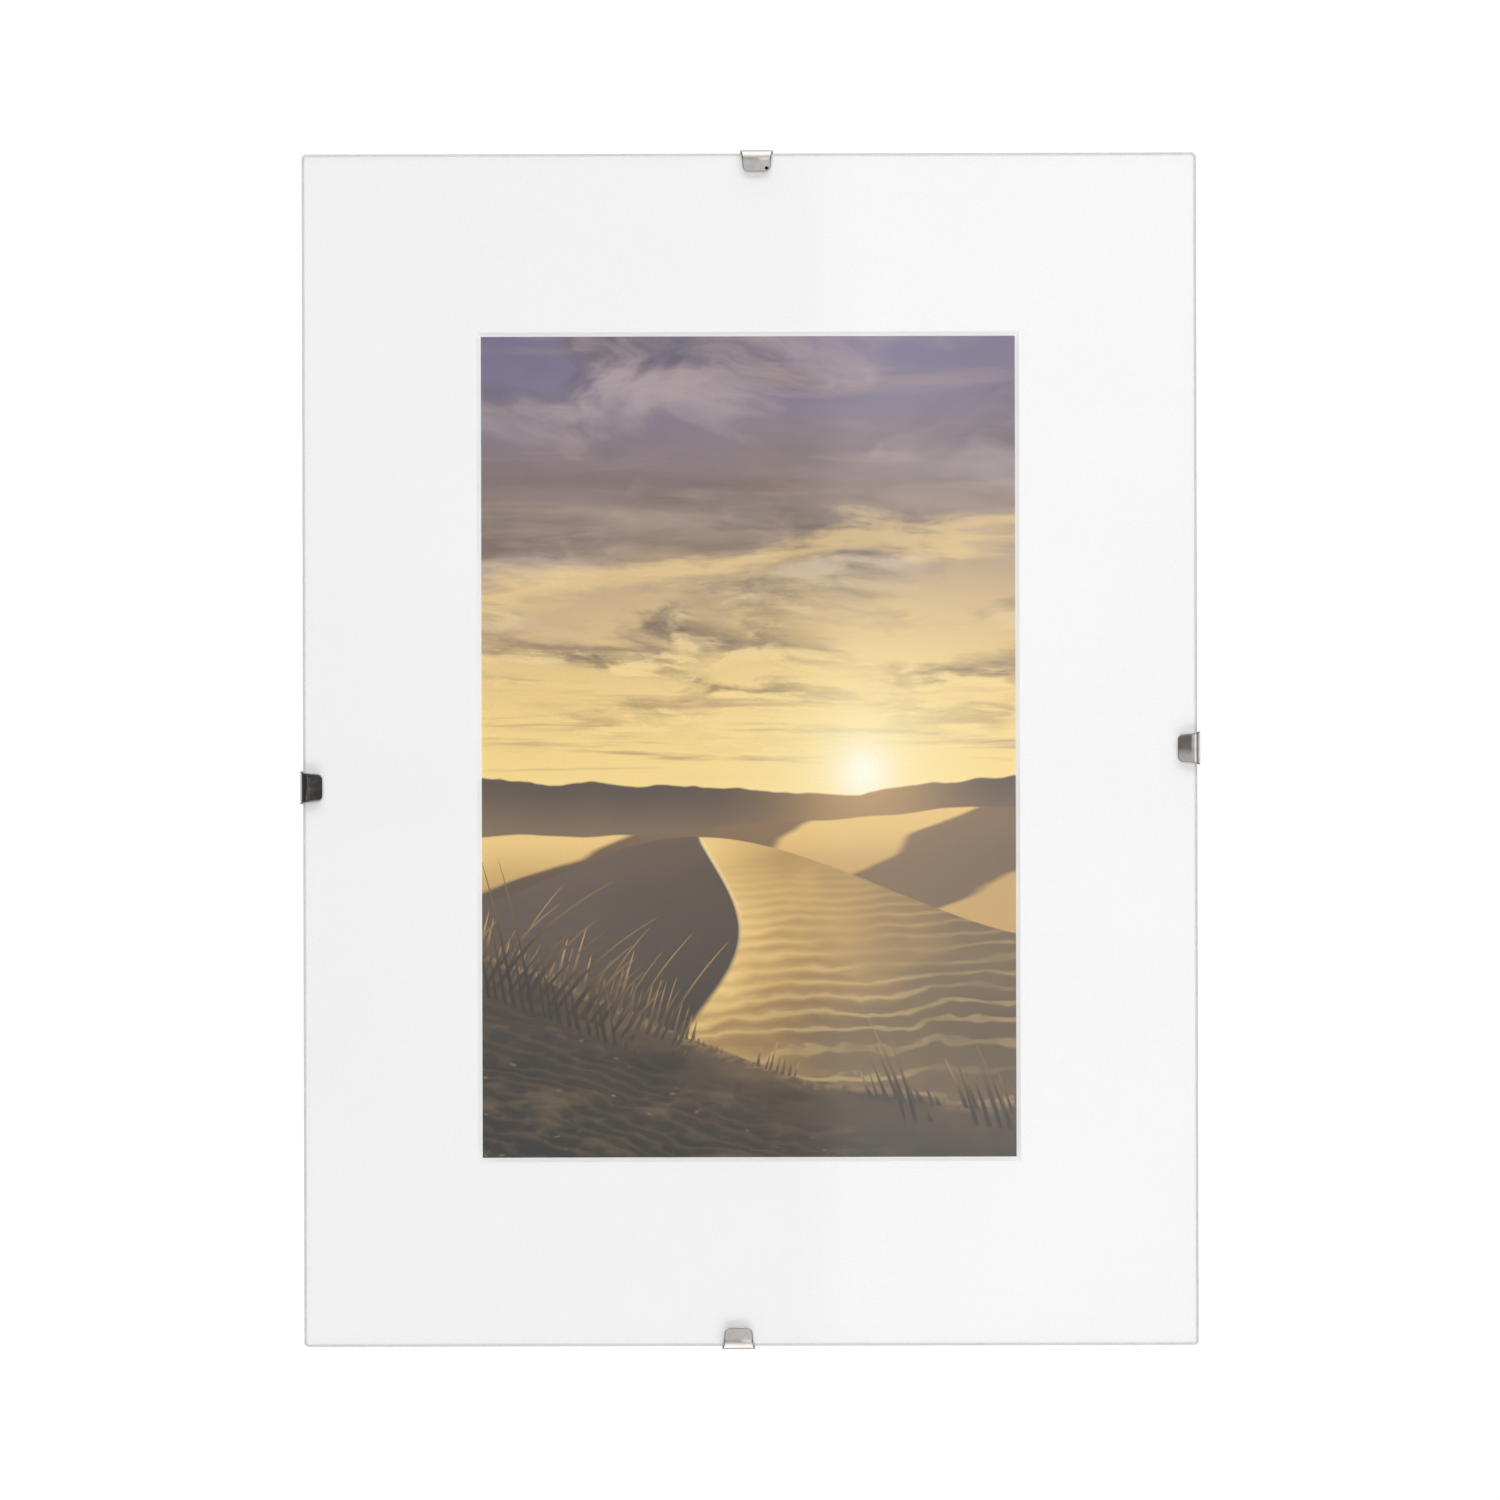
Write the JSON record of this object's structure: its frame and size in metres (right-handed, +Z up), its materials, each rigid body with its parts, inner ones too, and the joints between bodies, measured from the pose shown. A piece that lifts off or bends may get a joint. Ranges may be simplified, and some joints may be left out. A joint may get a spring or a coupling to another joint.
{
  "type": "clip frame",
  "caption": "Frameless wall-hung clip frame: a glass sheet over a white bevelled mat and a print, held against a hardboard back by spring clips at its edges.",
  "frame": {"origin": "the nail's place: the top of the middle notch of the portrait hanger, in the plane of the wall, so the frame hangs from the origin", "axes": "+Z up, +X to the right as seen from the front, +Y into the wall: the glass faces -Y"},
  "size_m": [0.3022, 0.0103, 0.4023],
  "materials": {
    "float_glass": "polished",
    "mat_board": "matte",
    "photo_paper": "satin",
    "paper_tape": "matte",
    "hardboard": "satin",
    "nickel_spring_steel": "polished",
    "zinc_steel": "satin",
    "rivet_steel": "satin"
  },
  "bodies": {
    "panel": {"glass_sheet": "float_glass", "window_mat": "mat_board", "picture_print": "photo_paper", "print_tapes": "paper_tape", "back_board": "hardboard", "hanger_portrait": "zinc_steel", "hanger_landscape": "zinc_steel", "hanger_rivets_portrait": "rivet_steel", "hanger_rivets_landscape": "rivet_steel"},
    "clip_top": {"clip_top": "nickel_spring_steel"},
    "clip_right": {"clip_right": "nickel_spring_steel"},
    "clip_bottom": {"clip_bottom": "nickel_spring_steel"},
    "clip_left": {"clip_left": "nickel_spring_steel"}
  },
  "joints": [
    {"name": "clip_top_slide", "type": "slide", "parent": "panel", "child": "clip_top", "axis": [0, 0, 1], "range_m": [0, 0.008]},
    {"name": "clip_right_slide", "type": "slide", "parent": "panel", "child": "clip_right", "axis": [1, 0, 0], "range_m": [0, 0.008]},
    {"name": "clip_bottom_slide", "type": "slide", "parent": "panel", "child": "clip_bottom", "axis": [0, 0, -1], "range_m": [0, 0.008]},
    {"name": "clip_left_slide", "type": "slide", "parent": "panel", "child": "clip_left", "axis": [-1, 0, 0], "range_m": [0, 0.008]}
  ]
}
